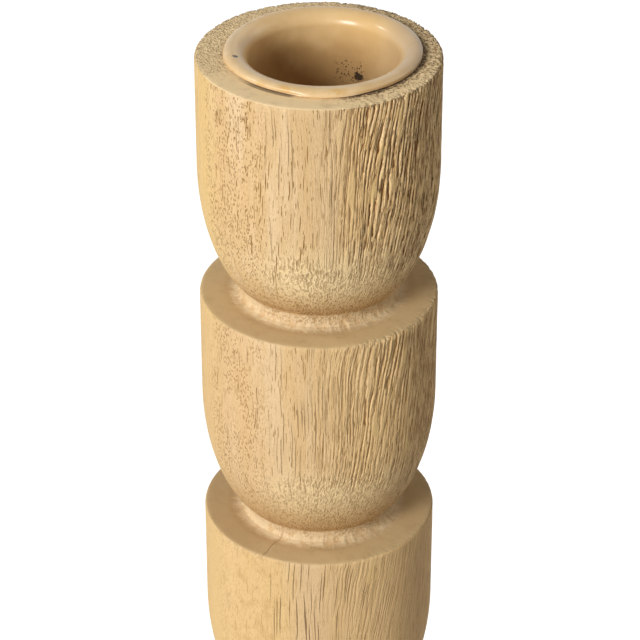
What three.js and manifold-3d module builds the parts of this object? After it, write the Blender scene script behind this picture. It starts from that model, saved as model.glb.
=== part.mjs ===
// A turned wooden candlestick: a column of stacked cup-shaped tiers on a round foot,
// with a metal candle cup in its top.
// Units are millimetres, +Z is up, and the origin is on the resting plane, under the middle of the column.
import * as THREE from "three";
import { mergeVertices } from "three/addons/utils/BufferGeometryUtils.js";
import Module from "manifold-3d";

const wasm = await Module();
wasm.setup();

// Column: tiers that repeat from the foot to the top.
const tierCount = 5;
const tierPitch = 40; // from one ledge to the next
const tierRadius = 18.5;
const wallHeight = 17.8; // straight part of a tier, down from its top edge
const edgeRound = 0.5; // worn edge round a tier's top
const bowlTurn = THREE.MathUtils.degToRad(62); // how far the bowl curves in before it meets the neck
const neckRadius = 12.4;
const neckHeight = 1.8; // collar between the bowl and the ledge below it
const neckFillet = 0.8;

// Tenon at the column's lower end, glued into the foot.
const tenonRadius = 8;
const tenonLength = 9;
const tenonClearance = 0.3; // glue gap, round the tenon and under it

// Candle cup: a spun metal liner that hangs by its lip in a socket in the top tier.
const candleRadius = 11; // the candle that the cup is made for
const candleClearance = 0.25;
const cupDraft = 0.5; // the cup is this much narrower in radius at its floor
const cupDepth = 22; // from the top of the wood down to the cup's floor
const cupWall = 0.9;
const lipOverhang = 2.9; // how far the lip reaches over the wood, past the cup's outer wall
const lipRise = 1.2; // crest of the lip above the wood
const lipEdge = 1.35; // from the lip's outer edge in to its crest
const throatDrop = 1; // the lip's inner curve runs this far down below the top of the wood
const socketClearance = 0.3; // round the cup
const socketFloorGap = 0.6; // under the cup, because the lip carries it
const socketOffset = 0.7; // the hand-bored socket is this far off the turning axis, towards +X

// Foot: a turned disc.
const footRadius = 45;
const footHeight = 18;
const footEdgeRound = 1.6; // upper edge
const footHeelRound = 3.2; // lower edge

// Screw and washer that draw the column down into the foot.
const screwCoreRadius = 1.7;
const threadDepth = 0.55;
const threadPitch = 2.4;
const threadTurns = 8;
const screwTip = 3.5; // tapered end past the thread
const screwHeadRadius = 4.2;
const screwHeadHeight = 2.6;
const driveWidth = 1.1; // cross slot in the head
const driveLength = 4.6;
const driveDepth = 1.4;
const holeClearance = 0.3; // round the screw, in the wood and in the washer
const washerWidth = 3.6; // from its hole to its rim
const washerThickness = 1.2;
const counterboreClearance = 0.6; // round the washer
const counterboreCover = 0.7; // the screw's head stays this far inside the foot

// Felt pads under the foot.
const padCount = 4;
const padRadius = 6;
const padThickness = 2;
const padInset = 2.4; // from the foot's lower rounding to the pad

// Facets of round pieces.
const columnSides = 48;
const cupSides = 48;
const footSides = 64;
const screwSides = 12;
const padSides = 24;
const ringsPerTurn = 5; // rings of the screw's thread

// Steps along the curves of the outlines.
const filletSteps = 2;
const bowlSteps = 6;
const edgeSteps = 2;
const lipSteps = 5;
const throatSteps = 6;
const heelSteps = 5;
const footEdgeSteps = 4;
const weldDistance = 1e-4; // vertices nearer than this become one

// Sizes that follow from the ones above.
const quarterTurn = Math.PI / 2;
const halfTurn = Math.PI;
const wholeTurn = 2 * Math.PI;
const columnHeight = tierCount * tierPitch;
const bowlWidth = (tierRadius - neckRadius) / (1 - Math.cos(bowlTurn));
const bowlDrop = (tierPitch - neckHeight - wallHeight) / Math.sin(bowlTurn);
const cupMouthRadius = candleRadius + candleClearance;
const cupFloorRadius = cupMouthRadius - cupDraft;
const cupOuterRadius = cupMouthRadius + cupWall;
const lipRadius = cupOuterRadius + lipOverhang;
const socketRadius = cupOuterRadius + socketClearance;
const socketDepth = cupDepth + cupWall + socketFloorGap;
const mortiseDepth = tenonLength + tenonClearance;
const threadRadius = screwCoreRadius + threadDepth;
const screwHoleRadius = threadRadius + holeClearance;
const washerRadius = screwHoleRadius + washerWidth;
const counterboreRadius = washerRadius + counterboreClearance;
const counterboreDepth = washerThickness + screwHeadHeight + counterboreCover;
const webThickness = footHeight - mortiseDepth - counterboreDepth; // wood between mortise and counterbore
const threadLength = threadTurns * threadPitch;
const shankLength = webThickness + washerThickness; // plain stretch under the head
const screwLength = shankLength + threadLength + screwTip;
const pilotDepth = screwLength - shankLength + holeClearance; // hole up into the column
const padCircle = footRadius - footHeelRound - padInset - padRadius;
const footLevel = padThickness;
const columnLevel = footLevel + footHeight;
const counterboreLevel = footLevel + counterboreDepth; // the washer bears on the wood here

const wood = new THREE.MeshStandardMaterial({ color: 0xdcbd8c, roughness: 0.75, metalness: 0 });
const footWood = new THREE.MeshStandardMaterial({ color: 0xd6b582, roughness: 0.75, metalness: 0 });
const lacqueredMetal = new THREE.MeshStandardMaterial({ color: 0xd2b384, roughness: 0.35, metalness: 0.2 });
const zincSteel = new THREE.MeshStandardMaterial({ color: 0xb4b6b8, roughness: 0.4, metalness: 0.9 });
const felt = new THREE.MeshStandardMaterial({ color: 0xb09a78, roughness: 1, metalness: 0 });

// Points along an arc of an ellipse, from one angle to another.
function arc(centreX, centreY, radiusX, radiusY, from, to, steps) {
  return new THREE.EllipseCurve(centreX, centreY, radiusX, radiusY, from, to, to < from).getPoints(steps);
}

// A solid of revolution about Z, from an outline of radius and height that rises on the outside.
function turned(outline, sides) {
  return new THREE.LatheGeometry(outline, sides).rotateX(quarterTurn);
}

// An upright cylinder from one height to another, as a turned solid.
function rod(radius, from, to, sides) {
  const outline = [
    new THREE.Vector2(0, from),
    new THREE.Vector2(radius, from),
    new THREE.Vector2(radius, to),
    new THREE.Vector2(0, to),
  ];
  return turned(outline, sides);
}

// A closed geometry as a solid that can be cut.
function solidOf(geometry) {
  const bare = geometry.clone();
  bare.deleteAttribute("normal");
  bare.deleteAttribute("uv");
  const merged = mergeVertices(bare, weldDistance);
  const vertProperties = merged.attributes.position.array;
  const triVerts = new Uint32Array(merged.index.array);
  return new wasm.Manifold(new wasm.Mesh({ numProp: 3, vertProperties, triVerts }));
}

// The geometry that is left when the tools are cut out of it.
function cut(geometry, ...tools) {
  const left = tools.reduce((solid, tool) => solid.subtract(solidOf(tool)), solidOf(geometry));
  const mesh = left.getMesh();
  return new THREE.BufferGeometry()
    .setAttribute("position", new THREE.BufferAttribute(mesh.vertProperties, 3))
    .setIndex(new THREE.BufferAttribute(mesh.triVerts, 1));
}

function named(name, geometry, material, level) {
  const mesh = new THREE.Mesh(geometry, material);
  mesh.name = name;
  mesh.position.z = level;
  return mesh;
}

// One tier's outline, from the ledge that it stands on up to its own top edge.
function tierOutline(ledge) {
  const top = ledge + tierPitch;
  const filletX = neckRadius + neckFillet;
  const filletY = ledge + neckFillet;
  const fillet = arc(filletX, filletY, neckFillet, neckFillet, -quarterTurn, -halfTurn, filletSteps);
  const bowl = arc(tierRadius - bowlWidth, top - wallHeight, bowlWidth, bowlDrop, -bowlTurn, 0, bowlSteps);
  const edge = arc(tierRadius - edgeRound, top - edgeRound, edgeRound, edgeRound, 0, quarterTurn, edgeSteps);
  return [...fillet, ...bowl, ...edge];
}

// The column, in one piece: tenon, tiers, the candle cup's socket and the screw's pilot hole.
function column() {
  const tiers = Array.from({ length: tierCount }, (_, tier) => tierOutline(tier * tierPitch)).flat();
  const outline = [
    new THREE.Vector2(0, -tenonLength),
    new THREE.Vector2(tenonRadius, -tenonLength),
    new THREE.Vector2(tenonRadius, 0),
    ...tiers,
    new THREE.Vector2(0, columnHeight),
  ];
  const socket = rod(socketRadius, columnHeight - socketDepth, columnHeight + lipRise, cupSides);
  socket.translate(socketOffset, 0, 0);
  const pilot = rod(screwHoleRadius, -tenonLength - tenonClearance, pilotDepth - mortiseDepth, screwSides);
  return named("column", cut(turned(outline, columnSides), socket, pilot), wood, columnLevel);
}

// The candle cup, with its height measured from the top of the wood.
function candleCup() {
  const crestRadius = lipRadius - lipEdge;
  const throatWidth = crestRadius - cupMouthRadius;
  const throatHeight = lipRise + throatDrop;
  const lip = arc(crestRadius, 0, lipEdge, lipRise, 0, quarterTurn, lipSteps);
  const throat = arc(crestRadius, -throatDrop, throatWidth, throatHeight, quarterTurn, halfTurn, throatSteps);
  const outline = [
    new THREE.Vector2(0, -cupDepth - cupWall),
    new THREE.Vector2(cupFloorRadius, -cupDepth - cupWall),
    new THREE.Vector2(cupFloorRadius + cupWall, -cupDepth),
    new THREE.Vector2(cupOuterRadius, 0),
    ...lip,
    ...throat.slice(1),
    new THREE.Vector2(cupFloorRadius, -cupDepth + cupWall),
    new THREE.Vector2(cupFloorRadius - cupWall, -cupDepth),
    new THREE.Vector2(0, -cupDepth),
  ];
  const cup = named("candle_cup", turned(outline, cupSides), lacqueredMetal, columnLevel + columnHeight);
  cup.position.x = socketOffset;
  return cup;
}

// The foot, with a mortise for the tenon, a counterbore for the screw's head and a hole between them.
function foot() {
  const heelX = footRadius - footHeelRound;
  const heel = arc(heelX, footHeelRound, footHeelRound, footHeelRound, -quarterTurn, 0, heelSteps);
  const edgeX = footRadius - footEdgeRound;
  const edgeY = footHeight - footEdgeRound;
  const edge = arc(edgeX, edgeY, footEdgeRound, footEdgeRound, 0, quarterTurn, footEdgeSteps);
  const outline = [
    new THREE.Vector2(0, 0),
    ...heel,
    ...edge,
    new THREE.Vector2(0, footHeight),
  ];
  const mortiseFloor = footHeight - mortiseDepth;
  const mortise = rod(tenonRadius + tenonClearance, mortiseFloor, footHeight + mortiseDepth, columnSides);
  const counterbore = rod(counterboreRadius, -counterboreDepth, counterboreDepth, columnSides);
  const hole = rod(screwHoleRadius, 0, footHeight, screwSides);
  return named("foot", cut(turned(outline, footSides), mortise, counterbore, hole), footWood, footLevel);
}

// The screw's shank and thread: rings whose radius rises and falls along a helix.
function threadOutlineRadius(height, angle) {
  const start = shankLength;
  const end = shankLength + threadLength;
  if (height <= start) {
    return threadRadius;
  }
  if (height >= end) {
    return screwCoreRadius * (1 - (height - end) / screwTip);
  }
  const phase = (height - start) / threadPitch - angle / wholeTurn;
  const ridge = Math.abs(2 * (phase - Math.floor(phase)) - 1);
  return screwCoreRadius + threadDepth * ridge;
}

// The wood screw, head down: its height is measured from the underside of its head.
function footScrew() {
  const ringCount = threadTurns * ringsPerTurn;
  const ringGap = threadLength / ringCount;
  const threadHeights = Array.from({ length: ringCount + 1 }, (_, ring) => shankLength + ring * ringGap);
  const headRound = screwHeadHeight / 2;
  const heights = [-screwHeadHeight, -screwHeadHeight, -headRound, 0, 0, ...threadHeights, screwLength];
  const headRadii = [0, screwHeadRadius - headRound, screwHeadRadius, screwHeadRadius];
  const positions = [];
  const index = [];
  heights.forEach((height, ring) => {
    for (let side = 0; side < screwSides; side += 1) {
      const angle = (wholeTurn * side) / screwSides;
      const radius = ring < headRadii.length ? headRadii[ring] : threadOutlineRadius(height, angle);
      positions.push(radius * Math.cos(angle), radius * Math.sin(angle), height);
      if (ring > 0) {
        const next = (side + 1) % screwSides;
        const below = (ring - 1) * screwSides;
        const here = ring * screwSides;
        index.push(below + side, below + next, here + next, below + side, here + next, here + side);
      }
    }
  });
  const geometry = new THREE.BufferGeometry()
    .setAttribute("position", new THREE.Float32BufferAttribute(positions, 3))
    .setIndex(index);
  const slot = new THREE.BoxGeometry(driveLength, driveWidth, 2 * driveDepth);
  slot.translate(0, 0, -screwHeadHeight);
  const screw = cut(geometry, slot, slot.clone().rotateZ(quarterTurn));
  return named("foot_screw", screw, zincSteel, counterboreLevel - washerThickness);
}

function screwWasher() {
  const outline = [
    new THREE.Vector2(screwHoleRadius, 0),
    new THREE.Vector2(washerRadius, 0),
    new THREE.Vector2(washerRadius, washerThickness),
    new THREE.Vector2(screwHoleRadius, washerThickness),
    new THREE.Vector2(screwHoleRadius, 0),
  ];
  return named("screw_washer", turned(outline, padSides), zincSteel, counterboreLevel - washerThickness);
}

function feltPads() {
  return Array.from({ length: padCount }, (_, pad) => {
    const angle = (wholeTurn * (pad + 0.5)) / padCount;
    const mesh = named("felt_pad_" + (pad + 1), rod(padRadius, 0, padThickness, padSides), felt, 0);
    mesh.position.x = padCircle * Math.cos(angle);
    mesh.position.y = padCircle * Math.sin(angle);
    return mesh;
  });
}

const candlestick = new THREE.Group();
candlestick.name = "candlestick";
candlestick.add(column(), candleCup(), foot(), footScrew(), screwWasher(), ...feltPads());

export default candlestick;
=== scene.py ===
import bpy
import math
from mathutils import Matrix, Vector
from types import SimpleNamespace


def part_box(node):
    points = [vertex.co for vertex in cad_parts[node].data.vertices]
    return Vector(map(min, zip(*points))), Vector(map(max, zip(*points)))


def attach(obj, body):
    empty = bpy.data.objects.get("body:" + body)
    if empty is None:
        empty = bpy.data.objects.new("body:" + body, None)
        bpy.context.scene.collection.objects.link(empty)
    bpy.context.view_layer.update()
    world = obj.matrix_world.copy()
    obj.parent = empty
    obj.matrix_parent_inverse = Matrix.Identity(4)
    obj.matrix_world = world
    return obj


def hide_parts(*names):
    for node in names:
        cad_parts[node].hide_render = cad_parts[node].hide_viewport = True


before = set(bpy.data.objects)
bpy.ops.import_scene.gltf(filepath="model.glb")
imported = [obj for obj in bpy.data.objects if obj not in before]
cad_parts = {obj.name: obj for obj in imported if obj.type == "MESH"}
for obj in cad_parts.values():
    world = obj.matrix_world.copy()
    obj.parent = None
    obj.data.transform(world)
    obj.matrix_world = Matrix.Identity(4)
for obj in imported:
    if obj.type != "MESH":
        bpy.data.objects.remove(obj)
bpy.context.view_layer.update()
scene = bpy.context.scene
mm = 0.001
quarter = math.pi / 2
print("frame loaded,", len(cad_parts), "nodes")


# Node maths

def twoSided(operation):
    def made(self, other):
        return self.operate(operation, self, other)
    return made


class Wire:
    # a socket of a node tree, with operators that add maths nodes to the tree
    def __init__(self, tree, socket=None):
        self.tree = tree
        self.socket = socket

    def plug(self, socket, value):
        if isinstance(value, Wire):
            self.tree.links.new(value.socket, socket)
        else:
            socket.default_value = value

    def node(self, kind, settings=None, sockets=None, out=0):
        made = self.tree.nodes.new(kind)
        for key, value in (settings or {}).items():
            setattr(made, key, value)
        for key, value in (sockets or {}).items():
            self.plug(made.inputs[key], value)
        return Wire(self.tree, made.outputs[out])

    def shape(self, kind, sockets=None):
        return self.node("GeometryNode" + kind, {}, sockets)

    def isVector(self):
        return self.socket.type in ("VECTOR", "RGBA")

    def operate(self, operation, *values):
        spread = any(isinstance(v, tuple) or (isinstance(v, Wire) and v.isVector()) for v in values)
        if not spread:
            return self.node("ShaderNodeMath", {"operation": operation}, dict(enumerate(values)))
        widened = [(v, v, v) if isinstance(v, (int, float)) else v for v in values]
        return self.node("ShaderNodeVectorMath", {"operation": operation}, dict(enumerate(widened)))

    __add__ = twoSided("ADD")
    __sub__ = twoSided("SUBTRACT")
    __mul__ = twoSided("MULTIPLY")
    __truediv__ = twoSided("DIVIDE")
    __pow__ = twoSided("POWER")
    larger = twoSided("MAXIMUM")
    smaller = twoSided("MINIMUM")

    def __rsub__(self, other):
        return self.operate("SUBTRACT", other, self)

    def __abs__(self):
        return self.operate("ABSOLUTE", self)

    def fraction(self):
        return self.operate("FRACT", self)

    def split(self):
        made = self.node("ShaderNodeSeparateXYZ", {}, {0: self}).socket.node
        return [Wire(self.tree, socket) for socket in made.outputs]

    def ramp(self, low, high, least=0, most=1):
        sockets = {"Value": self, 1: low, 2: high, 3: least, 4: most}
        return self.node("ShaderNodeMapRange", {"interpolation_type": "SMOOTHSTEP"}, sockets)

    def placed(self, stretch, seed):
        # where a texture is read; in a shader one Mapping node keeps the compiled tree small
        if self.tree.bl_idname == "GeometryNodeTree":
            return self * stretch + seed
        sockets = {"Vector": self, "Scale": stretch, "Location": (seed, seed, seed)}
        return self.node("ShaderNodeMapping", {}, sockets)

    def noise(self, stretch, seed, detail=1, rough=0.5, out=0):
        place = self.placed(stretch, seed)
        sockets = {"Vector": place, "Scale": 1, "Detail": detail, "Roughness": rough}
        return self.node("ShaderNodeTexNoise", {}, sockets, out)

    def cells(self, stretch, seed, out=0, flat=False):
        settings = {"voronoi_dimensions": "2D" if flat else "3D"}
        sockets = {"Vector": self.placed(stretch, seed), "Scale": 1}
        return self.node("ShaderNodeTexVoronoi", settings, sockets, out)

    def blend(self, first, second):
        # self is the share of the second colour
        sockets = {0: self, 6: first, 7: second}
        return self.node("ShaderNodeMix", {"data_type": "RGBA"}, sockets, 2)

    def bump(self, depth):
        # self is a height in millimetres
        return self.node("ShaderNodeBump", {}, {"Strength": 1, "Distance": depth, "Height": self})


def even(stretch):
    return (stretch, stretch, stretch)


def summed(fields, shares):
    # named fields added up, each times its share
    total = 0
    for name, share in shares.items():
        total = getattr(fields, name) * share + total
    return total


def strongest(fields, shares):
    # the largest of named fields, each times its share
    first, *others = [getattr(fields, name) * share for name, share in shares.items()]
    for other in others:
        first = first.larger(other)
    return first


def layered(base, tones, layers):
    # named tones laid over the base one by one, each by its share
    for share, name in layers:
        base = share.blend(base, tones[name])
    return base


def tonesOf(colours):
    # sRGB from 0 to 255, as linear colours
    def linear(value):
        share = value / 255
        return share / 12.92 if share <= 0.04045 else ((share + 0.055) / 1.055) ** 2.4

    return {name: (*map(linear, parts), 1) for name, parts in colours.items()}


def newMaterial(name):
    material = bpy.data.materials.new(name)
    material.use_nodes = True
    return material, Wire(material.node_tree)


def dress(material, values):
    shader = material.node_tree.nodes["Principled BSDF"]
    for name, value in values.items():
        Wire(material.node_tree).plug(shader.inputs[name], value)
    return material


def turnedMaterial(name):
    # with the place, in millimetres, and the facing that a turned piece had before its relief
    material, start = newMaterial(name)
    point = start.node("ShaderNodeAttribute", {"attribute_name": "restPoint"}, {}, 1) / mm
    normal = start.node("ShaderNodeAttribute", {"attribute_name": "restNormal"}, {}, 1)
    return material, point, normal


# Outlines of turned pieces: radius, offset of the axis, height

def arcOf(centre, radii, start, end, steps):
    points = []
    for step in range(steps + 1):
        angle = start + (end - start) * step / steps
        radius = centre[0] + radii[0] * math.cos(angle)
        points.append((radius, 0, centre[1] + radii[1] * math.sin(angle)))
    return points


def lineOf(start, end, steps):
    # leaves out the start, which the stretch before it holds
    shares = [(step + 1) / steps for step in range(steps)]
    return [tuple(a + (b - a) * share for a, b in zip(start, end)) for share in shares]


def along(outline, *stretches):
    # adds straight stretches, each given as radius, height and steps
    for radius, height, steps in stretches:
        outline += lineOf(outline[-1], (radius, 0, height), steps)
    return outline


# Geometry Nodes lathe, shared by every turned piece

def ringOf(start, shape, ring):
    # copies of a shape on the corners of a circle
    circle = start.shape("MeshCircle", {"Vertices": ring["count"], "Radius": ring["radius"]})
    corners = start.shape("Transform", {0: circle, "Rotation": (0, 0, ring["turn"])})
    copies = start.shape("InstanceOnPoints", {"Points": corners, "Instance": shape})
    return start.shape("RealizeInstances", {0: copies})


def latheTree(name, material, relief, lean=None, ring=None):
    tree = bpy.data.node_groups.new(name, "GeometryNodeTree")
    face = tree.interface
    face.new_socket("Outline", in_out="INPUT", socket_type="NodeSocketGeometry")
    sides = face.new_socket("Sides", in_out="INPUT", socket_type="NodeSocketInt")
    depth = face.new_socket("Relief", in_out="INPUT", socket_type="NodeSocketFloat")
    face.new_socket("Turned", in_out="OUTPUT", socket_type="NodeSocketGeometry")
    entry = tree.nodes.new("NodeGroupInput")
    outline, sidesIn, depthIn = [Wire(tree, socket) for socket in entry.outputs[:3]]
    start = Wire(tree)
    sameSpot = 1e-6
    vector = {"data_type": "FLOAT_VECTOR"}
    onPoints = {"data_type": "FLOAT_VECTOR", "domain": "POINT"}

    def swung(angle):
        across = radius * angle.operate("COSINE", angle) + offset
        back = radius * angle.operate("SINE", angle)
        return start.node("ShaderNodeCombineXYZ", {}, {0: across, 1: back, 2: height})

    def stored(shape, title, value):
        sockets = {0: shape, "Name": title, "Value": value}
        return start.node("GeometryNodeStoreNamedAttribute", onPoints, sockets)

    def read(title):
        return start.node("GeometryNodeInputNamedAttribute", vector, {"Name": title})

    # a grid: a row for each outline point, a spoke for each side
    rows = start.shape("AttributeDomainSize", {0: outline})
    spokes = start.node("FunctionNodeIntegerMath", {"operation": "ADD"}, {0: sidesIn, 1: 1})
    grid = start.shape("MeshGrid", {"Vertices X": spokes, "Vertices Y": rows})
    index = start.shape("InputIndex")
    row = start.node("FunctionNodeIntegerMath", {"operation": "MODULO"}, {0: index, 1: rows})
    spoke = start.node("FunctionNodeIntegerMath", {"operation": "DIVIDE_FLOOR"}, {0: index, 1: rows})
    place = start.shape("InputPosition")
    picked = start.node("GeometryNodeSampleIndex", onPoints, {0: outline, "Value": place, "Index": row})
    radius, offset, height = picked.split()
    angle = spoke * (2 * math.pi) / sidesIn
    if lean:
        angle = angle + lean(swung(angle) / mm)
    turned = start.shape("SetPosition", {0: grid, "Position": swung(angle)})
    closed = start.shape("MergeByDistance", {0: turned, "Distance": sameSpot})
    if ring:
        closed = ringOf(start, closed, ring)
    # the relief moves each point along its facing
    kept = stored(closed, "restPoint", place)
    kept = stored(kept, "restNormal", start.shape("InputNormal"))
    facing = read("restNormal")
    shift = facing * (relief(read("restPoint") / mm, facing) * depthIn)
    shaped = start.shape("SetPosition", {0: kept, "Offset": shift})
    smooth = start.shape("SetShadeSmooth", {0: shaped})
    real = start.shape("RealizeInstances", {0: smooth})
    painted = start.shape("SetMaterial", {0: real, "Material": material})
    leave = tree.nodes.new("NodeGroupOutput")
    tree.links.new(painted.socket, leave.inputs[0])
    return tree, {"sides": sides.identifier, "relief": depth.identifier}


def addObject(name, data):
    thing = bpy.data.objects.new(name, data)
    scene.collection.objects.link(thing)
    return thing


def freeze(maker):
    # the evaluated mesh takes the place of the modifiers
    graph = bpy.context.evaluated_depsgraph_get()
    ready = maker.evaluated_get(graph)
    mesh = bpy.data.meshes.new_from_object(ready, preserve_all_data_layers=True, depsgraph=graph)
    maker.modifiers.clear()
    spent = maker.data
    maker.data = mesh
    bpy.data.meshes.remove(spent)
    mesh.name = maker.name


def turnPiece(name, look, outline, material, relief, lean=None):
    points = outline(look)
    mesh = bpy.data.meshes.new(name + "_outline")
    mesh.from_pydata(points, [(i, i + 1) for i in range(len(points) - 1)], [])
    piece = addObject(name, mesh)
    tree, keys = latheTree(name + "_lathe", material, relief, lean, look.get("ring"))
    modifier = piece.modifiers.new("lathe", "NODES")
    modifier.node_group = tree
    modifier[keys["sides"]] = look["sides"]
    modifier[keys["relief"]] = mm
    freeze(piece)
    print(name, "turned,", len(piece.data.polygons), "faces")
    return piece


def fit(piece, body, slot, *cadNodes):
    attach(piece, body)
    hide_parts(*cadNodes)


# Column: one turning of five tiers

columnLow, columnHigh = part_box("column")
footLow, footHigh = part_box("foot")
cupLow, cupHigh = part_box("candle_cup")
cupAxis = (cupLow.x + cupHigh.x) / 2

columnLook = {
    "tiers": 5,
    "radius": (columnHigh.x - columnLow.x) / 2,
    "wall": 17.8 * mm,
    "bowlTurn": math.radians(62),
    "neckRadius": 12.4 * mm,
    "neckHeight": 1.8 * mm,
    "neckFillet": 0.8 * mm,
    "edgeRound": 0.45 * mm,
    "edgeFine": 1.2 * mm,  # below an edge, where mesh rows are closer
    "tenonRadius": 8 * mm,
    "socketRadius": 12.45 * mm,
    "socketDepth": 23.5 * mm,
    "sides": 420,
    "crowding": 0.35,  # draws the mesh together where the grain is open
    "crowdTurn": math.radians(-45),
    "twistNear": 0.20,  # lean of the grain at the top of a tier
    "twistFade": 0.0022,
    "crackTurn": math.radians(-29),
    "roughness": 0.75,
}
tierPitch = (columnHigh.z - footHigh.z) / columnLook["tiers"]

# in millimetres: a tier, the column's top, and the ledges on the next three tiers below it
tierHeight = tierPitch / mm
topHeight = columnHigh.z / mm
secondTop, thirdTop, fourthTop = [topHeight - tierHeight * count for count in (1, 2, 3)]


def columnOutline(look):
    standing = footHigh.z
    radius, neck, fillet = look["radius"], look["neckRadius"], look["neckFillet"]
    turn, edge = look["bowlTurn"], look["edgeRound"]
    bowlWidth = (radius - neck) / (1 - math.cos(turn))
    bowlDrop = (tierPitch - look["neckHeight"] - look["wall"]) / math.sin(turn)
    outline = [(0, 0, columnLow.z)]
    along(outline, (look["tenonRadius"], columnLow.z, 2), (look["tenonRadius"], standing, 2))
    for tier in range(look["tiers"]):
        ledge = standing + tier * tierPitch
        top = ledge + tierPitch
        heel = (neck + fillet, ledge + fillet)
        if tier > 0:
            along(outline, (radius - 2 * edge, ledge, 1))
        along(outline, (heel[0], ledge, 2 if tier == 0 else 5))
        outline += arcOf(heel, (fillet, fillet), -quarter, -2 * quarter, 3)[1:]
        outline += arcOf((radius - bowlWidth, top - look["wall"]), (bowlWidth, bowlDrop), -turn, 0, 17)
        along(outline, (radius, top - look["edgeFine"], 12), (radius, top - edge, 2))
        outline += arcOf((radius - edge, top - edge), (edge, edge), 0, quarter, 3)[1:]
    socket = look["socketRadius"]
    top = columnHigh.z
    outline += lineOf(outline[-1], (socket, cupAxis, top), 10)
    outline += lineOf(outline[-1], (socket, cupAxis, top - look["socketDepth"]), 3)
    outline += lineOf(outline[-1], (0, cupAxis, top - look["socketDepth"]), 2)
    return outline


# Grain of the column; lengths in millimetres

grainLook = {
    "strand": {"pitch": 0.70, "drift": 2.4, "cross": 0.02, "seed": 23, "gate": (0.34, 0.46)},
    "branch": {"pitch": 1.10, "drift": 3.2, "cross": -0.05, "seed": 57, "gate": (0.44, 0.54)},
    "fibre": {"pitch": 0.40, "drift": 1.4, "cross": 0.03, "seed": 91, "gate": (0.38, 0.52)},
    "jitter": 0.6,
    "wanderStretch": (0.3, 0.04, 0),
    "jitterStretch": (1.2, 0.3, 0),
    "shutStretch": (0.9, 0.24, 0),
    "gapWide": 0.28,  # half of a gap, from its bottom to the crest of a strand
    "gapCore": 0.11,  # half of its dark bottom
    "crumble": 0.16,  # how far the sides of a gap stray
    "sway": (2.4, 2.4, 0),
    "vesselBend": (0.3, 0, 0),
    "markBend": (0.5, 0.4, 0),
    "threadDepth": 0.06,
    "fuzzDepth": 0.02,
    "meshShare": 0.6,  # how much of the mesh's depth the shading repeats
}

# stretch for each millimetre, seed, detail and roughness
grainNoise = {
    "wander": ((0.07, 0.07, 0.03), 3.1),
    "sway": ((0.08, 0.08, 0.045), 7.7, 2),
    "patch": ((0.42, 0.1, 0), 61),
    "broken": ((1.6, 0.55, 0), 15),
    "crumble": ((4, 4, 1.2), 43),
    "deep": ((0.6, 0.06, 0), 37),
    "speck": ((3.6, 3.6, 1.8), 53, 2, 0.6),
    "chip": ((1.9, 1.9, 0.7), 77, 2),
    "seam": (even(1.4), 95, 2),
    "rough": (even(2.6), 67, 2, 0.6),
    "pit": (even(1.7), 49, 2, 0.6),
    "wide": ((0.6, 0.09, 0), 33),
    "vesselBend": ((0.8, 0.8, 0.3), 19),
    "split": ((0.3, 0.03, 0), 89, 0),
    "band": ((0.35, 0.1, 0), 41),
    "markBend": (even(2), 17),
    "markEdge": ((4.5, 4.5, 3), 81),
    "spot": ((2.9, 2.9, 1.6), 63, 1, 0.6),
    "torn": (even(2.6), 83, 2, 0.6),
    "tornPatch": (even(0.4), 85, 0),
    "lump": (even(0.9), 99, 2, 0.6),
    "crack": (even(0.5), 5, 0),
    "streak": ((0.22, 0.22, 0.018), 51, 3, 0.6),
    "thread": ((2.6, 0.16, 0), 71, 2, 0.6),
    "mottle": (even(0.45), 39, 4, 0.65),
    "fuzz": ((5, 5, 3.2), 25, 1, 0.6),
}

# stretch for each millimetre of the unrolled wall, and seed
grainCells = {
    "vessel": ((2.6, 0.1, 0), 0),
    "short": ((3, 0.3, 0), 13),
    "limbDash": ((1.1, 0.16, 0), 3),
    "split": ((2.2, 0.04, 0), 87),
    "mark": ((3, 1.1, 0), 29),
    "hatch": ((2.2, 0.6, 0), 21),
}

# depths in the mesh, and those too fine for it
meshDepths = {"valley": 0.30, "strandStep": 0.06, "rough": 0.13, "chip": 0.28, "crack": 0.08, "lump": 0.3}
fineDepths = {
    "core": 0.08, "fibreGap": 0.05, "split": 0.12, "speck": 0.05, "vessel": 0.1, "short": 0.08,
    "mark": 0.06, "hatch": 0.1, "spot": 0.07, "torn": 0.08, "pit": 0.35,
}

# how dark pores and gaps are
poreShares = {
    "vessel": 1, "short": 1, "mark": 0.8, "fibreGap": 0.5, "pit": 0.65, "torn": 0.6, "hatch": 0.7,
}
gapShares = {"core": 0.9, "crack": 0.32, "limbDash": 0.6, "split": 0.8}

woodTones = tonesOf({
    "pale": (229, 198, 153),
    "tan": (221, 185, 132),
    "straw": (231, 196, 128),
    # cream: painted warm light on the shaded right side
    "cream": (247, 209, 145),
    # crest: a painted highlight on the lit flanks of the strands
    "crest": (250, 217, 166),
    "honey": (212, 175, 126),
    "thread": (186, 144, 86),
    "strand": (204, 158, 98),
    "patch": (226, 192, 126),
    # bowl: painted bounce light under the bowls
    "bowl": (255, 227, 173),
    "crease": (196, 156, 102),
    "collar": (222, 201, 164),
    "ledge": (206, 178, 131),
    "ring": (251, 222, 172),
    "mottle": (168, 134, 90),
    "fleck": (242, 216, 170),
    # valley: the gaps' darker wood, with painted warm shade
    "valley": (186, 124, 26),
    "pore": (146, 94, 6),
    "gap": (98, 54, 2),
    "seam": (78, 50, 24),
})


def grained(place, name, out=0):
    return place.noise(*grainNoise[name], out=out)


def dotted(flat, name, out=0):
    return flat.cells(*grainCells[name], out=out, flat=True)


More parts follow.
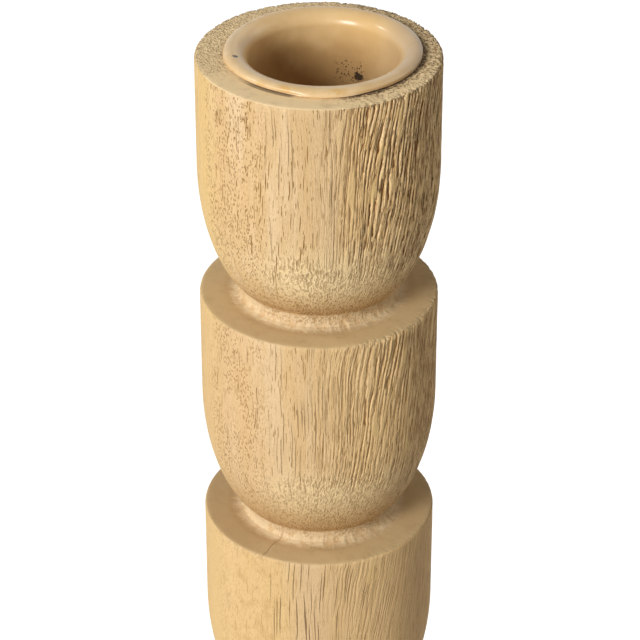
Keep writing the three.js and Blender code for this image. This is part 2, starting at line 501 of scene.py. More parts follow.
def columnZones(point, look=columnLook):
    # where the grain is open, the way down from a tier's top edge, and the lean
    x, y, z = point.split()
    on = SimpleNamespace(point=point, x=x, y=y, z=z)
    on.radius = (x * x + y * y) ** 0.5
    on.reach = on.radius + 0.01  # never nought
    on.side = x / on.reach
    on.front = y / on.reach * -1
    on.wander = grained(point, "wander") - 0.5
    on.grooved = (on.side + on.wander * 0.5).ramp(-0.16, 0.4)
    above = 0.9  # just over an edge still belongs to it
    on.down = ((topHeight + above - z) / tierHeight).fraction() * tierHeight - above
    bent = on.down * look["twistNear"] - on.down * on.down * look["twistFade"]
    on.lean = bent / (look["radius"] / mm)
    return on


def columnLean(point, look=columnLook):
    on = columnZones(point)
    middle = look["crowdTurn"]
    crowd = (on.y * math.cos(middle) - on.x * math.sin(middle)) / on.reach * look["crowding"]
    # a wider ramp than the grain has, so that no two spokes cross
    share = on.side.ramp(-0.55, 0.8)
    return (on.lean * share + crowd) * -1


def tierZones(on, normal):
    # ledges, bowls, necks and collars, and how open the grain of each tier is
    tilt = normal.split()[2]
    below = 0.05  # a ledge belongs to the tier above it
    on.level = tilt.ramp(0.6, 0.9)
    on.under = tilt.ramp(-0.14, -0.42)
    on.topmost = on.z.ramp(topHeight - 5, topHeight - 2)
    on.up = ((on.z - footHigh.z / mm + below) / tierHeight).fraction() * tierHeight - below
    # painted bounce light on the undersides of the bowls, strongest at the front, less at the sides and
    # back
    bowl = tilt.ramp(-0.04, -0.28) * on.up.ramp(3.5, 9, 0.2) * on.side.ramp(-0.75, -0.1, 0.1)
    on.bowl = bowl * on.front.ramp(-0.4, 0.3, 0.2) * on.side.ramp(0.75, 0.2, 0.4)
    on.neck = on.radius.ramp(15.8, 14.8) * (1 - on.level)
    on.collar = on.up.ramp(2.4, 1.8) * on.neck
    # painted shade in the crease where each bowl meets its collar, fading up the bowl
    creaseEnd = (on.up * on.z.ramp(secondTop - 30, secondTop + 5, 0.72)).ramp(11, 3.2)
    on.crease = on.up.ramp(1.7, 2.3) * creaseEnd * (1 - on.level)
    # the lower tiers are sanded smoother, the third the most
    second = on.z.ramp(thirdTop + 0.2, thirdTop + 2, 0.32, 0.72)
    on.first = on.z.ramp(secondTop - 4, secondTop + 4)
    lowest = on.z.ramp(fourthTop + 2, fourthTop - 2, 0, 0.5)
    on.strength = second.larger(on.first).larger(lowest)


def unrollWall(on):
    # the grain's place, and the wall laid flat as arc and height, its seam on the left
    start = Wire(on.point.tree)
    sockets = {"Vector": on.point, "Angle": on.lean * on.grooved}
    turned = start.node("ShaderNodeVectorRotate", {"rotation_type": "Z_AXIS"}, sockets)
    sway = grained(on.point, "sway", out=1) - 0.5
    on.grain = turned + sway * grainLook["sway"]
    acrossX, acrossY, height = on.grain.split()
    arc = acrossX.operate("ARCTAN2", acrossY, acrossX) * (columnLook["radius"] / mm)
    on.flat = start.node("ShaderNodeCombineXYZ", {}, {0: arc, 1: height, 2: 0})


def strandRows(flat, row):
    # the way to the nearest open gap, a tone for each strand, and its lit left flank, where a highlight is
    # painted
    arc, height = flat.split()[:2]
    wander = flat.noise(grainLook["wanderStretch"], row["seed"]) - 0.5
    jitter = flat.noise(grainLook["jitterStretch"], row["seed"] + 3) - 0.5
    place = arc + height * row["cross"] + wander * row["drift"] + jitter * grainLook["jitter"]
    count = place / row["pitch"]
    share = count.fraction()
    gap = (0.5 - abs(share - 0.5)) * row["pitch"]
    flank = share.ramp(0.08, 0.22) * share.ramp(0.55, 0.35)
    shut = 1 - flat.noise(grainLook["shutStretch"], row["seed"] + 7).ramp(*row["gate"])
    whole = count.operate("FLOOR", count)
    tone = count.node("ShaderNodeTexWhiteNoise", {"noise_dimensions": "1D"}, {"W": whole})
    return gap + shut * grainLook["gapWide"], tone, flank * (1 - shut)


def openStrands(on):
    # open grain: strands along the fibres, with gaps between them
    patch = grained(on.flat, "patch").ramp(0.64, 0.70)
    on.patch = patch * on.grooved
    on.wall = (1 - on.level) * (1 - on.collar) * (1 - patch * 0.9)
    on.strandEnd = (on.down + on.wander * 10 - on.side.ramp(0.4, 0.95) * 9).ramp(22, 30)
    broken = grained(on.flat, "broken").ramp(0.52, 0.4) * on.down.ramp(6, 18)
    spread = on.grooved * on.wall * (1 - on.strandEnd * 0.9) * (1 - broken * 0.85) * on.strength ** 1.5
    on.open = spread * (1 - on.down.ramp(1.4, 0.2) * (1 - on.strength ** 3))
    strandWay, strandTone, flank = strandRows(on.flat, grainLook["strand"])
    branchWay = strandRows(on.flat, grainLook["branch"])[0]
    fibreWay = strandRows(on.flat, grainLook["fibre"])[0]
    crumble = grained(on.point, "crumble") - 0.5
    way = strandWay.smaller(branchWay) + crumble * grainLook["crumble"]
    deep = grained(on.flat, "deep").ramp(0.35, 0.6, 0.45)
    gapWide, gapCore = grainLook["gapWide"], grainLook["gapCore"]
    on.valley = way.ramp(gapWide, 0) * deep * on.open
    on.core = way.ramp(gapCore, gapCore * 0.4) * deep * on.open
    on.strandStep = strandTone * on.open
    on.flank = flank * on.open
    on.speck = grained(on.point, "speck").ramp(0.5, 0.68) * on.open
    limb = on.side.ramp(0.7, 0.95)
    fine = (on.side + on.wander * 0.4).ramp(-0.15, 0.3, 0.25) * on.wall
    fine = fine * (1 - on.strandEnd * 0.8) * on.strength
    on.fibreGap = fibreWay.ramp(0.12, 0.03) * fine * (limb * 0.6 + 1)


def wornEdges(on):
    # chips round a tier's top edge, and painted shadow under the cup's lip, with dirt along it on the
    # right
    wallEdge = on.down.ramp(1, 0.3) * (1 - on.level) * on.radius.ramp(16, 17)
    rim = wallEdge.larger(on.radius.ramp(17.6, 18.1) * on.level)
    ragged = (on.grooved * on.grooved).larger(on.topmost * on.front.ramp(-0.1, -0.5))
    on.chip = grained(on.point, "chip").ramp(0.5, 0.6) * rim * ragged * on.strength ** 2
    cupX = on.x - cupAxis / mm
    on.lipWay = (cupX * cupX + on.y * on.y) ** 0.5
    # painted shadow under the lip on the right, with dirt along it
    rightLipShadowAndDirt = (on.lipWay + on.wander * 0.8).ramp(15.45, 15.15) * on.side.ramp(0.1, 0.4)
    rightLipShadowAndDirt = rightLipShadowAndDirt * grained(on.point, "seam").ramp(0.3, 0.5)
    # painted shadow under the lifted lip on the left
    leftLipShadow = (on.lipWay + on.wander * 0.3).ramp(15.28, 15.16) * on.side.ramp(-0.22, -0.3)
    leftLipShadow = leftLipShadow * on.side.ramp(-0.85, -0.65) * on.front.ramp(0.2, 0.5)
    on.seam = rightLipShadowAndDirt.larger(leftLipShadow * 0.8) * on.level * on.topmost


def sandedLedges(on):
    # ledges, sanded in part, rough in part, and pitted at the top
    sandedTop = on.side.ramp(0.2, -0.05) * on.front.ramp(0.35, 0.6)
    sandedLedge = 1 - (on.side + on.wander * 0.6).ramp(0.1, 0.5) * on.radius.ramp(16.6, 17.8)
    sanded = on.level * (on.topmost * sandedTop + (1 - on.topmost) * sandedLedge)
    coarse = on.level * (1 - sanded)
    smoothFront = on.topmost * on.front.ramp(0.1, 0.5) * 0.7
    tooth = grained(on.point, "rough").ramp(0.42, 0.62)
    on.rough = coarse * (on.topmost * 0.7 + 0.3) * (1 - smoothFront) * tooth
    pitted = on.side.ramp(0.1, 0.5, 0.3) * (1 - on.front.ramp(0.2, 0.6) * 0.7)
    nearLip = on.lipWay.ramp(17, 15.4) * on.side.ramp(0.1, 0.4)
    hole = grained(on.point, "pit").ramp(0.5, 0.62)
    on.pit = hole * coarse * on.topmost * pitted.larger(nearLip)


def vesselDashes(on):
    # vessels: dashes of many lengths along the fibres, and a few long splits
    smoothLeft = on.side.ramp(-0.82, -0.93) * on.front.ramp(0.1, 0.35)
    plain = on.wall * (1 - smoothLeft * 0.85) * (1 - on.under * 0.6) * (1 - on.grooved * 0.35)
    plain = plain * on.strength.larger(on.front.ramp(0.3, 0) * 0.75)
    wide = grained(on.flat, "wide").ramp(0.34, 0.66, 0.08, 0.2)
    wavy = on.flat + (grained(on.point, "vesselBend", out=1) - 0.5) * grainLook["vesselBend"]

    def dashes(name):
        dash = dotted(wavy, name).ramp(wide, wide * 0.65) * plain
        tone = dotted(wavy, name, out=1).split()[0]
        return dash * tone.ramp(0.4, 0.75, 0.15)

    on.vessel = dashes("vessel")
    on.short = dashes("short")
    limbDash = dotted(wavy, "limbDash").ramp(0.32, 0.15)
    on.limbDash = limbDash * on.wall * on.strength * on.side.ramp(0.66, 0.88)
    split = dotted(wavy, "split").ramp(0.19, 0.11) * on.wall * (1 - on.under)
    split = split * grained(on.flat, "split").ramp(0.4, 0.5)
    split = split * on.z.ramp(thirdTop + 10, thirdTop - 15, 0.6)
    on.split = split * on.side.ramp(-0.55, -0.3) * on.side.ramp(0.6, 0.3)


def stippledMarks(on):
    # short marks in a band on the left, hatching where the strands end, and dots under the bowls
    band = on.side.ramp(-0.95, -0.86) * on.side.ramp(-0.3, -0.6) * (1 - on.level) * (1 - on.collar)
    band = band * grained(on.flat, "band").ramp(0.25, 0.5)
    band = band * on.z.ramp(thirdTop - 2, thirdTop + 2, 0.3, 0.9).larger(on.first)
    crooked = on.flat + (grained(on.point, "markBend", out=1) - 0.5) * grainLook["markBend"]
    edge = (grained(on.point, "markEdge") - 0.5) * 0.6
    mark = (dotted(crooked, "mark") + edge).ramp(0.3, 0.14) * band
    markTone = dotted(crooked, "mark", out=1).split()[0]
    on.mark = mark * markTone.ramp(0.1, 0.5)
    hatch = (dotted(crooked, "hatch") + edge * 0.6).ramp(0.34, 0.18)
    hatch = hatch * on.side.ramp(-0.5, 0) * on.strandEnd.ramp(0.05, 0.5)
    on.hatch = hatch * (1 - on.under * 0.7) * on.wall * on.strength
    spotted = on.strandEnd.ramp(0, 0.6) * on.side.ramp(-0.7, -0.3) * (1 - on.level)
    spotted = spotted * (1 - on.collar) * on.strength ** 0.5
    on.spot = grained(on.grain, "spot").ramp(0.5, 0.66) * spotted


def tornNecks(on):
    # torn fibres where a bowl meets its collar, and lumps round the neck
    torn = on.up.ramp(0.2, 0.8) * on.up.ramp(4.6, 2.8) * on.side.ramp(-0.9, -0.5) * on.side.ramp(0.9, 0.6)
    torn = torn * on.neck * grained(on.point, "torn").ramp(0.5, 0.62)
    on.torn = torn * grained(on.point, "tornPatch").ramp(0.25, 0.45) * on.strength
    on.halo = on.collar.larger(on.level * (1 - on.topmost) * on.radius.ramp(14.8, 13))
    lump = grained(on.point, "lump") * on.radius.ramp(15, 13.4)
    on.lump = lump * on.up.ramp(4.4, 2.6) * (1 - on.topmost)


def ledgeCrack(on):
    # one crack across the third tier's ledge
    turn = columnLook["crackTurn"]
    stray = grained(on.point, "crack") - 0.5
    across = on.x * math.cos(turn) + on.y * math.sin(turn) + stray * 0.5
    onLedge = abs(on.z - thirdTop).ramp(0.9, 0.5)
    on.crack = abs(across).ramp(0.11, 0.03) * on.front.ramp(0.3, 0.5) * onLedge


def columnGrain(point, normal):
    on = columnZones(point)
    tierZones(on, normal)
    unrollWall(on)
    openStrands(on)
    wornEdges(on)
    sandedLedges(on)
    vesselDashes(on)
    stippledMarks(on)
    tornNecks(on)
    ledgeCrack(on)
    return on


def columnRelief(point, normal):
    return summed(columnGrain(point, normal), meshDepths) * -1


def columnLayers(on, thread, fuzz):
    # shares and tones of the wood, the lowest layer first
    mottle = grained(on.point, "mottle")
    belowFirst = on.z.ramp(secondTop + 2, secondTop - 2)
    belowSecond = on.z.ramp(thirdTop + 2, thirdTop - 2)
    lower = on.level * (1 - on.topmost)
    # painted shade on the far right of the lower ledges; on the left, from the third tier down, a darker
    # tone of the wood
    ledgeShadeAndTone = on.side.ramp(0.75, 0.98) * 0.6 + on.side.ramp(-0.4, -0.8) * on.z.ramp(thirdTop + 20, thirdTop)
    smoothLeft = on.side.ramp(-0.1, -0.35) * belowSecond * (1 - on.level)
    marked = on.side.ramp(-0.88, -0.7) * on.front.ramp(0.2, 0.5)
    return (
        (on.side.ramp(-0.75, -0.92) * on.front.ramp(-0.2, 0.15, 0.3, 0.7), "straw"),
        # painted warm light over the shaded, open-grained right side
        (on.grooved * 0.75, "cream"),
        (on.z.ramp(secondTop + 5, secondTop - 50) * 0.45, "honey"),
        (thread.ramp(0.45, 0.7) * 0.14, "thread"),
        # painted shade on the right-hand edge below the first tier
        (on.side.ramp(0.5, 0.95) * belowFirst * 0.45, "thread"),
        (on.side.ramp(-0.2, -0.6) * belowFirst * 0.35, "honey"),
        (smoothLeft * 0.4, "straw"),
        (smoothLeft * marked * mottle.ramp(0.48, 0.66) * 0.35, "thread"),
        (on.strandStep * 0.25, "strand"),
        (on.patch * 0.6, "patch"),
        # painted bounce light under the bowls
        (on.bowl * 0.85, "bowl"),
        # painted shade in the crease under each bowl
        (on.crease * on.z.ramp(secondTop - 10, secondTop + 5, 0.8, 0.6), "crease"),
        (on.level * 0.85, "ledge"),
        (on.halo * 0.7, "collar"),
        (on.lump.ramp(0.45, 0.65) * 0.5, "crease"),
        (on.level * mottle.ramp(0.45, 0.75) * 0.3, "mottle"),
        (on.rough * 0.15, "mottle"),
        (lower * ledgeShadeAndTone * 0.35, "mottle"),
        (fuzz * 0.2, "thread"),
        (on.chip * 0.9, "fleck"),
        # darker wood in the gaps of the open grain, with painted warm shade in them
        (on.valley * 0.7, "valley"),
        # painted highlight on each strand's left flank, which faces the key lamp
        (on.flank * 0.6, "crest"),
        (on.speck * on.side.ramp(0.6, 0.95, 0.3, 0.6), "pore"),
        (strongest(on, poreShares).larger(on.spot * (on.crease * 0.3 + 0.45)), "pore"),
        (strongest(on, gapShares), "gap"),
        # painted shadow under the cup's lip, and dirt along it on the right
        (on.seam * 0.8, "seam"),
    )


def columnWood(look=columnLook):
    material, point, normal = turnedMaterial("columnWood")
    on = columnGrain(point, normal)
    streak = grained(on.grain, "streak")
    thread = grained(on.flat, "thread") * (1 - on.level)
    fuzz = grained(point, "fuzz").ramp(0.42, 0.66) * (1 - on.level * 0.8)
    tones = dict(woodTones, ledge=on.topmost.blend(woodTones["ledge"], woodTones["ring"]))
    base = streak.ramp(0.36, 0.62).blend(tones["pale"], tones["tan"])
    base = layered(base, tones, columnLayers(on, thread, fuzz))
    fibres = thread * -grainLook["threadDepth"] - fuzz * grainLook["fuzzDepth"]
    height = fibres - summed(on, meshDepths) * grainLook["meshShare"] - summed(on, fineDepths)
    return dress(material, {"Base Color": base, "Roughness": look["roughness"], "Normal": height.bump(mm)})


column = turnPiece("column_wood", columnLook, columnOutline, columnWood(), columnRelief, columnLean)
fit(column, "stand", "column_wood", "column")


# Candle cup: a lacquered metal liner

cupLook = {
    "floorRadius": 10.75 * mm,
    "mouthRadius": 11.25 * mm,
    "wall": 0.9 * mm,
    "depth": 22 * mm,
    "lipRadius": (cupHigh.x - cupLow.x) / 2,
    "lipEdge": 1.35 * mm,
    "lipRise": 1.2 * mm,
    "lipGap": 0.3 * mm,  # set-back of the bend and the edge
    "throatDrop": 1 * mm,
    "sides": 240,
    "specular": 0.25,
    "coat": 0.45,
    "coatRoughness": 0.22,
}

# marks on the cup; lengths in millimetres, turns in radians
cupMarks = {
    "liftDepth": 0.34,  # how far the lip's edge stands off the wood
    "dentDepth": 0.12,
    "wear": ((-0.675, 0.07), (-0.385, 0.1), (0.12, 0.16)),  # turn and half width
    "wearReach": 14.5,
    "chipTurn": 1.323,
    "chipReach": 13.4,
    "chipWobble": 1.2,
    "sootTurn": 0.38,
    "sootDrop": 8,
    "blobTurn": 0.503,
    "blobDrop": 8.6,
    "blobWobble": 1.7,
    "wallRadius": 11,
}

cupNoise = {
    "dent": (even(0.12), 11),
    "cloud": (even(0.14), 4, 3, 0.6),
    "worn": (even(0.9), 19, 2),
    "wobble": (even(1.8), 31, 2),
}
sootCells = (even(2.2), 47)

cupTones = tonesOf({
    "pale": (230, 199, 150),
    "tan": (219, 184, 131),
    "inside": (179, 142, 93),
    "rightLipShade": (198, 165, 119),
    "leftLipLight": (250, 212, 156),
    "yellowed": (226, 182, 112),
    "worn": (214, 168, 96),
    "soot": (52, 38, 26),
})


def cupOutline(look):
    top = columnHigh.z
    floor, mouth, wall, lip = look["floorRadius"], look["mouthRadius"], look["wall"], look["lipRadius"]
    bottom = top - look["depth"]
    crest = lip - look["lipEdge"]
    gap = look["lipGap"]
    outline = [(0, 0, bottom - wall)]
    along(outline, (floor, bottom - wall, 4))
    outline += arcOf((floor, bottom), (wall, wall), -quarter, 0, 4)[1:]
    along(outline, (mouth + wall, top - gap, 10), (mouth + wall + gap, top, 1), (lip - gap, top, 5))
    outline += arcOf((crest, top), (look["lipEdge"], look["lipRise"]), 0.12, quarter, 12)
    throat = (crest - mouth, look["lipRise"] + look["throatDrop"])
    outline += arcOf((crest, top - look["throatDrop"]), throat, quarter, 2 * quarter, 16)[1:]
    along(outline, (floor, bottom + wall, 30))
    outline += arcOf((floor - wall, bottom + wall), (wall, wall), 0, -quarter, 4)[1:]
    along(outline, (0, bottom, 8))
    return [(radius, cupAxis, height) for radius, offset, height in outline]


def cupFields(point):
    x, y, z = (point - (cupAxis / mm, 0, topHeight)).split()
    on = SimpleNamespace(point=point, x=x, y=y, z=z)
    on.reach = (x * x + y * y) ** 0.5
    on.turn = x.operate("ARCTAN2", x, y * -1)  # from the front, towards +X
    return on


def cupRelief(point, normal, marks=cupMarks):
    on = cupFields(point)
    tilt = normal.split()[2]
    lipEdge = on.reach.ramp(13.2, 14.2) * tilt.ramp(0.75, 0.3)
    leftLift = on.turn.ramp(-0.12, -0.44) * on.turn.ramp(-1.5, -0.7)
    rightLift = on.turn.ramp(0.2, 0.5) * on.turn.ramp(2.4, 1.6)
    lifted = lipEdge * leftLift.larger(rightLift)
    dent = point.noise(*cupNoise["dent"])
    return (lifted * marks["liftDepth"] + dent * marks["dentDepth"]) * -1


def lipWear(on, marks=cupMarks):
    worn = 0
    for place, width in marks["wear"]:
        across = abs(on.reach - marks["wearReach"]).ramp(0.7, 0.2)
        worn = abs(on.turn - place).ramp(width, width * 0.3) * across + worn
    return worn * on.point.noise(*cupNoise["worn"]).ramp(0.3, 0.6)


def chipAndSoot(on, marks=cupMarks):
    # a chip in the lacquer of the lip, and soot specks on the inner wall
    wobble = on.point.noise(*cupNoise["wobble"]) - 0.5
    chipX = on.x + math.sin(marks["chipTurn"]) * marks["chipReach"]
    chipY = on.y + math.cos(marks["chipTurn"]) * marks["chipReach"]
    chipWay = (chipX * chipX + chipY * chipY) ** 0.5 + wobble * marks["chipWobble"]
    chip = chipWay.ramp(0.55, 0.3) * on.z.ramp(-0.5, 0.5)
    away = on.x.operate("ARCTAN2", on.x, on.y)  # from the back, towards +X
    specks = on.point.cells(*sootCells).ramp(0.34, 0.22)
    cluster = abs(away - marks["sootTurn"]).ramp(0.3, 0.12) * abs(on.z + marks["sootDrop"]).ramp(2.6, 0.8)
    blobX = (away - marks["blobTurn"]) * marks["wallRadius"]
    blobZ = on.z + marks["blobDrop"]
    blob = ((blobX * blobX + blobZ * blobZ) ** 0.5 + wobble * marks["blobWobble"]).ramp(0.95, 0.55)
    soot = (specks * cluster).larger(blob * 0.95) * on.z.ramp(-2.5, -3.5)
    return chip, soot


def cupLacquer(look=cupLook):
    material, point = turnedMaterial("cupLacquer")[:2]
    on = cupFields(point)
    tones, turn = cupTones, on.turn
    cloud = point.noise(*cupNoise["cloud"])
    deep = on.z.ramp(0.2, -5)
    # painted light on the inner left of the lip, which faces away from the key lamp
    leftLipLight = turn.ramp(-0.7, -1.2) * turn.ramp(-2.6, -2) * (1 - deep) * on.reach.ramp(13.9, 12.9)
    chip, soot = chipAndSoot(on)
    base = cloud.ramp(0.38, 0.62).blend(tones["pale"], tones["tan"])
    layers = (
        (deep * cloud.ramp(0.3, 0.7, 0.65, 0.95), "inside"),
        # painted shade on the right-hand side of the cup
        (turn.ramp(0.6, 1.3) * turn.ramp(2.6, 2) * 0.75, "rightLipShade"),
        (leftLipLight * 0.7, "leftLipLight"),
        (abs(turn).ramp(1.9, 2.5) * (1 - deep) * 0.4, "yellowed"),
        (lipWear(on) * 0.7, "worn"),
        (chip.larger(soot), "soot"),
    )
    height = cloud * 0.12 - chip * 0.06 + soot * 0.05
    return dress(material, {
        "Base Color": layered(base, tones, layers),
        "Roughness": cloud.ramp(0.3, 0.7, 0.3, 0.42) + soot * 0.3,
        "Specular IOR Level": look["specular"],
        "Coat Weight": look["coat"],
        "Coat Roughness": look["coatRoughness"],
        "Normal": height.bump(mm),
    })


cup = turnPiece("cup_liner", cupLook, cupOutline, cupLacquer(), cupRelief)
fit(cup, "cup", "cup_metal", "candle_cup")


# Foot: a turned disc of flat-sawn wood, its grain along X

footLook = {
    "radius": (footHigh.x - footLow.x) / 2,
    "edgeRound": 1.6 * mm,
    "heelRound": 3.2 * mm,
    "mortiseRadius": 8.3 * mm,
    "mortiseDepth": 9.3 * mm,
    "counterboreRadius": 6.75 * mm,
    "counterboreDepth": 4.5 * mm,
    "counterboreBevel": 0.4 * mm,
    "holeRadius": 2.55 * mm,
    "sides": 360,
    "roughness": 0.75,
    "sway": (0, 5, 3),
    "meshDepths": {"vessel": 0.07, "fine": 0.03, "crease": 0.1},
    "fineDepths": {"vessel": 0.07, "fine": 0.04, "crease": 0.1},
    "darkShares": {"vessel": 0.65, "fine": 0.4, "crease": 0.6},
}

footNoise = {
    "sway": ((0.02, 0.05, 0.05), 9, 2),
    "strand": ((0.07, 1, 1), 27, 1, 0.45),
    "gate": ((0.03, 0.1, 0.2), 33),
    "rings": ((0, 0.16, 0.4), 2, 3, 0.55),
    "fibre": ((0.35, 4.5, 4.5), 71, 2, 0.6),
}
footCells = {"vessel": ((0.12, 1.8, 1.8), 5), "fine": ((0.3, 2.4, 2.4), 15)}

footTones = tonesOf({
    "pale": (226, 191, 142),
    "tan": (212, 174, 118),
    "fibre": (190, 150, 98),
    "endGrain": (192, 160, 112),
    "dark": (108, 74, 38),
})


def footOutline(look):
    bottom, top, radius = footLow.z, footHigh.z, look["radius"]
    heel, edge, hole = look["heelRound"], look["edgeRound"], look["holeRadius"]
    seat = bottom + look["counterboreDepth"]
    mortise = top - look["mortiseDepth"]
    bore, bevel = look["counterboreRadius"], look["counterboreBevel"]
    outline = [(hole, 0, seat)]
    along(outline, (bore, seat, 6), (bore, bottom + bevel, 5), (bore + bevel, bottom, 2))
    along(outline, (radius - heel, bottom, 26))
    outline += arcOf((radius - heel, bottom + heel), (heel, heel), -quarter, 0, 10)[1:]
    along(outline, (radius, top - edge, 24))
    outline += arcOf((radius - edge, top - edge), (edge, edge), 0, quarter, 8)[1:]
    along(outline, (look["mortiseRadius"], top, 60), (look["mortiseRadius"], mortise, 3))
    along(outline, (hole, mortise, 2), (hole, seat, 2))
    return outline


def footGrain(point):
    sway = point.noise(*footNoise["sway"], out=1) - 0.5
    grain = point + sway * footLook["sway"]
    on = SimpleNamespace(grain=grain)
    on.vessel = grain.cells(*footCells["vessel"]).ramp(0.24, 0.1)
    on.fine = grain.cells(*footCells["fine"]).ramp(0.2, 0.1)
    strand = abs(grain.noise(*footNoise["strand"]) - 0.5)
    on.crease = strand.ramp(0.06, 0.005) * grain.noise(*footNoise["gate"]).ramp(0.46, 0.62)
    return on


def footRelief(point, normal):
    return summed(footGrain(point), footLook["meshDepths"]) * -1


def footWood(look=footLook):
    material, point, normal = turnedMaterial("footWood")
    on = footGrain(point)
    rings = on.grain.noise(*footNoise["rings"])
    fibre = on.grain.noise(*footNoise["fibre"])
    base = rings.ramp(0.34, 0.64).blend(footTones["pale"], footTones["tan"])
    layers = (
        (fibre.ramp(0.4, 0.75) * 0.4, "fibre"),
        (abs(normal.split()[0]).ramp(0.5, 0.9) * 0.6, "endGrain"),
        (strongest(on, look["darkShares"]), "dark"),
    )
    base = layered(base, footTones, layers)
    height = summed(on, look["fineDepths"]) * -0.8 + fibre * 0.02
    return dress(material, {"Base Color": base, "Roughness": look["roughness"], "Normal": height.bump(mm)})


foot = turnPiece("foot_wood", footLook, footOutline, footWood(), footRelief)
fit(foot, "stand", "foot_wood", "foot")


# Screw and washer under the foot

screwLow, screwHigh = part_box("foot_screw")
washerLow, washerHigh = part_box("screw_washer")

screwLook = {
    "headRadius": (screwHigh.x - screwLow.x) / 2,
    "headHeight": 2.6 * mm,
    "headDome": 1.4 * mm,
    "bevel": 0.15 * mm,
    "coreRadius": 1.7,  # millimetres, as the thread's maths is
    "threadDepth": 0.55,
    "threadPitch": 2.4,
    "threadTurns": 8,
    "turnSteps": 12,  # rows of the mesh in one turn of the thread
    "tip": 3.5 * mm,
    "tipStep": 0.2 * mm,
    "slotWidth": 1.1 * mm,
    "slotLength": 4.6 * mm,
    "slotDepth": 1.4 * mm,
    "washerHole": 2.55 * mm,
    "sides": 48,
}

zincTones = tonesOf({"bright": (186, 189, 192), "dull": (164, 160, 148), "rust": (120, 96, 70)})


def screwOutline(look):
    bottom = screwLow.z
    under = bottom + look["headHeight"]
    threadTop = screwHigh.z - look["tip"]
    shankTop = threadTop - look["threadTurns"] * look["threadPitch"] * mm
    shank = (look["coreRadius"] + look["threadDepth"]) * mm
    head, dome, bevel = look["headRadius"], look["headDome"], look["bevel"]
    outline = [(0, 0, bottom)]
    along(outline, (head - dome, bottom, 6))
    outline += arcOf((head - dome, bottom + dome), (dome, dome), -quarter, 0, 8)[1:]
    along(outline, (head, under - bevel, 2), (head - bevel, under, 1), (shank, under, 3))
    along(outline, (shank, shankTop, 3), (shank, threadTop, look["threadTurns"] * look["turnSteps"]))
    along(outline, (look["coreRadius"] * mm, threadTop + look["tipStep"], 1), (0, screwHigh.z, 6))
    return outline


def screwRelief(point, normal, look=screwLook):
    x, y, z = point.split()
    threadTop = (screwHigh.z - look["tip"]) / mm
    shankTop = threadTop - look["threadTurns"] * look["threadPitch"]
    turn = y.operate("ARCTAN2", y, x) / (2 * math.pi)
    phase = (z - shankTop) / look["threadPitch"] - turn
    ridge = abs(phase.fraction() * 2 - 1)
    threaded = z.ramp(shankTop, shankTop + 0.5) * z.ramp(threadTop + 0.05, threadTop)
    return (1 - ridge) * threaded * look["threadDepth"] * -1


def zincSteel():
    material, point = turnedMaterial("zincSteel")[:2]
    x, y = point.split()[:2]
    reach = (x * x + y * y) ** 0.5
    cloud = point.noise(even(0.5), 6, 3, 0.6)
    rust = point.noise(even(0.9), 44, 3, 0.6).ramp(0.66, 0.74)
    base = cloud.ramp(0.35, 0.65).blend(zincTones["bright"], zincTones["dull"])
    base = (rust * 0.5).blend(base, zincTones["rust"])
    turnMarks = reach * 14 + cloud * 2
    height = turnMarks.operate("SINE", turnMarks) * 0.006 + cloud * 0.03
    return dress(material, {
        "Base Color": base,
        "Metallic": rust.ramp(0, 1, 0.95, 0.5),
        "Roughness": cloud.ramp(0.3, 0.7, 0.28, 0.46),
        "Normal": height.bump(mm),
    })


def cutSlots(piece, look):
    # two crossed bars cut the drive recess out of the head
    length, width, depth = look["slotLength"] / 2, look["slotWidth"] / 2, look["slotDepth"]
    bars = ((3, 2, 1, 0), (4, 5, 6, 7), (0, 1, 5, 4), (1, 2, 6, 5), (2, 3, 7, 6), (3, 0, 4, 7))
    corners, faces = [], []
    for halfX, halfY in ((length, width), (width, length)):
        first = len(corners)
        for height in (screwLow.z - depth, screwLow.z + depth):
            corners += [(-halfX, -halfY, height), (halfX, -halfY, height)]
            corners += [(halfX, halfY, height), (-halfX, halfY, height)]
        faces += [tuple(first + corner for corner in bar) for bar in bars]
    mesh = bpy.data.meshes.new("slot_cutter")
    mesh.from_pydata(corners, [], faces)
    cutter = addObject("slot_cutter", mesh)
    modifier = piece.modifiers.new("slots", "BOOLEAN")
    modifier.operation = "DIFFERENCE"
    modifier.solver = "EXACT"
    modifier.use_self = True
    modifier.object = cutter
    freeze(piece)
    bpy.data.objects.remove(cutter)
    bpy.data.meshes.remove(mesh)


def flatRelief(point, normal):
    return point.split()[2] * 0


def washerOutline(look):
    low, high, hole, bevel = washerLow.z, washerHigh.z, look["washerHole"], look["bevel"]
    rim = (washerHigh.x - washerLow.x) / 2
    outline = [(hole, 0, low + bevel)]
    along(outline, (hole + bevel, low, 1), (rim - bevel, low, 5), (rim, low + bevel, 2))
    along(outline, (rim, high - bevel, 2), (rim - bevel, high, 1), (hole + bevel, high, 3))
    return along(outline, (hole, high - bevel, 1), (hole, low + bevel, 2))


zinc = zincSteel()
screw = turnPiece("screw_steel", screwLook, screwOutline, zinc, screwRelief)
cutSlots(screw, screwLook)
fit(screw, "stand", "zinc_steel", "foot_screw")
washer = turnPiece("washer_steel", screwLook, washerOutline, zinc, flatRelief)
fit(washer, "stand", "zinc_steel", "screw_washer")


# Felt pads under the foot

padNodes = ["felt_pad_1", "felt_pad_2", "felt_pad_3", "felt_pad_4"]
padLow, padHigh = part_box(padNodes[0])
padMiddle = (padLow + padHigh) / 2

padLook = {
    "radius": (padHigh.x - padLow.x) / 2,
    "edgeRound": 0.5 * mm,
    "sides": 72,
    "ring": {"count": len(padNodes), "radius": math.hypot(padMiddle.x, padMiddle.y), "turn": quarter / 2},
    "roughness": 1,
    "sheen": 0.3,
}

feltTones = tonesOf({"pale": (176, 152, 118), "dark": (150, 126, 94), "hair": (196, 174, 142)})


